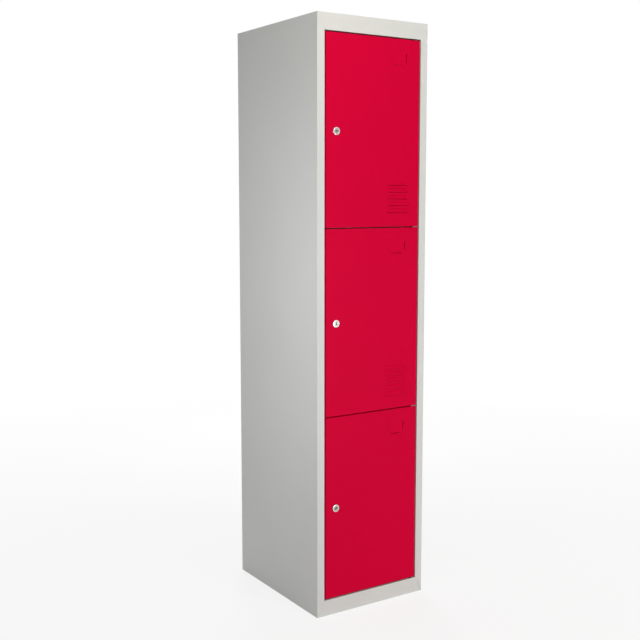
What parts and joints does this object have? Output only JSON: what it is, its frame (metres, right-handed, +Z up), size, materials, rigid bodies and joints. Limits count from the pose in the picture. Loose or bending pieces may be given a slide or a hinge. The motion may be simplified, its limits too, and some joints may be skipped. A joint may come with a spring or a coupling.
{
  "type": "locker",
  "caption": "Tall narrow steel locker with a mitred front frame, stacked pin-hung doors with cam locks, pressed louvres and card tabs, and a shelved compartment behind each door.",
  "frame": {"origin": "middle of the locker's footprint, on the floor", "axes": "+Z up the height, the doors face -Y, the hinges are at +X and the locks at -X as seen from the front"},
  "size_m": [0.38, 0.4547, 1.7],
  "materials": {
    "carcass_paint": "light grey powder coat, satin",
    "end_plate_black": "black paint on round hinge plates",
    "door_paint": "red powder coat, satin",
    "pin_steel": "turned steel pin",
    "rivet_aluminium": "plain rivet heads",
    "buffer_rubber": "matt black rubber",
    "bush_nylon": "black nylon",
    "lock_chrome": "polished chrome plate",
    "plug_chrome": "brushed chrome plate",
    "lock_steel": "zinc-plated steel"
  },
  "bodies": {
    "cabinet": {"left_side_panel": "carcass_paint", "right_side_panel": "carcass_paint", "top_panel": "carcass_paint", "base_panel": "carcass_paint", "back_panel": "carcass_paint", "lower_shelf": "carcass_paint", "upper_shelf": "carcass_paint", "sill_hinge_plate": "end_plate_black", "lower_hinge_plate": "carcass_paint", "upper_hinge_plate": "carcass_paint", "head_hinge_plate": "end_plate_black", "sill_hinge_pin": "pin_steel", "lower_hinge_pin": "pin_steel", "upper_hinge_pin": "pin_steel", "head_hinge_pin": "pin_steel", "back_rivets": "rivet_aluminium", "door_buffers": "buffer_rubber"},
    "lower_door": {"lower_door_skin": "door_paint", "lower_door_stiffener": "door_paint", "lower_door_foot_bush": "bush_nylon", "lower_door_head_bush": "bush_nylon", "lower_lock_housing": "lock_chrome", "lower_lock_nut": "lock_steel"},
    "lower_lock": {"lower_lock_plug": "plug_chrome", "lower_lock_cam": "lock_steel", "lower_cam_screw": "lock_steel"},
    "middle_door": {"middle_door_skin": "door_paint", "middle_door_stiffener": "door_paint", "middle_door_foot_bush": "bush_nylon", "middle_door_head_bush": "bush_nylon", "middle_lock_housing": "lock_chrome", "middle_lock_nut": "lock_steel"},
    "middle_lock": {"middle_lock_plug": "plug_chrome", "middle_lock_cam": "lock_steel", "middle_cam_screw": "lock_steel"},
    "upper_door": {"upper_door_skin": "door_paint", "upper_door_stiffener": "door_paint", "upper_door_foot_bush": "bush_nylon", "upper_door_head_bush": "bush_nylon", "upper_lock_housing": "lock_chrome", "upper_lock_nut": "lock_steel"},
    "upper_lock": {"upper_lock_plug": "plug_chrome", "upper_lock_cam": "lock_steel", "upper_cam_screw": "lock_steel"}
  },
  "joints": [
    {"name": "lower_door_hinge", "type": "hinge", "parent": "cabinet", "child": "lower_door", "pos_m": [0.15, -0.219, 0.31563], "axis": [0, 0, 1], "range_deg": [0, 120]},
    {"name": "middle_door_hinge", "type": "hinge", "parent": "cabinet", "child": "middle_door", "pos_m": [0.15, -0.219, 0.85], "axis": [0, 0, 1], "range_deg": [0, 120]},
    {"name": "upper_door_hinge", "type": "hinge", "parent": "cabinet", "child": "upper_door", "pos_m": [0.15, -0.219, 1.38437], "axis": [0, 0, 1], "range_deg": [0, 120]},
    {"name": "lower_lock_turn", "type": "hinge", "parent": "lower_door", "child": "lower_lock", "pos_m": [-0.128, -0.225, 0.31563], "axis": [0, 1, 0], "range_deg": [0, 90]},
    {"name": "middle_lock_turn", "type": "hinge", "parent": "middle_door", "child": "middle_lock", "pos_m": [-0.128, -0.225, 0.85], "axis": [0, 1, 0], "range_deg": [0, 90]},
    {"name": "upper_lock_turn", "type": "hinge", "parent": "upper_door", "child": "upper_lock", "pos_m": [-0.128, -0.225, 1.38437], "axis": [0, 1, 0], "range_deg": [0, 90]}
  ]
}
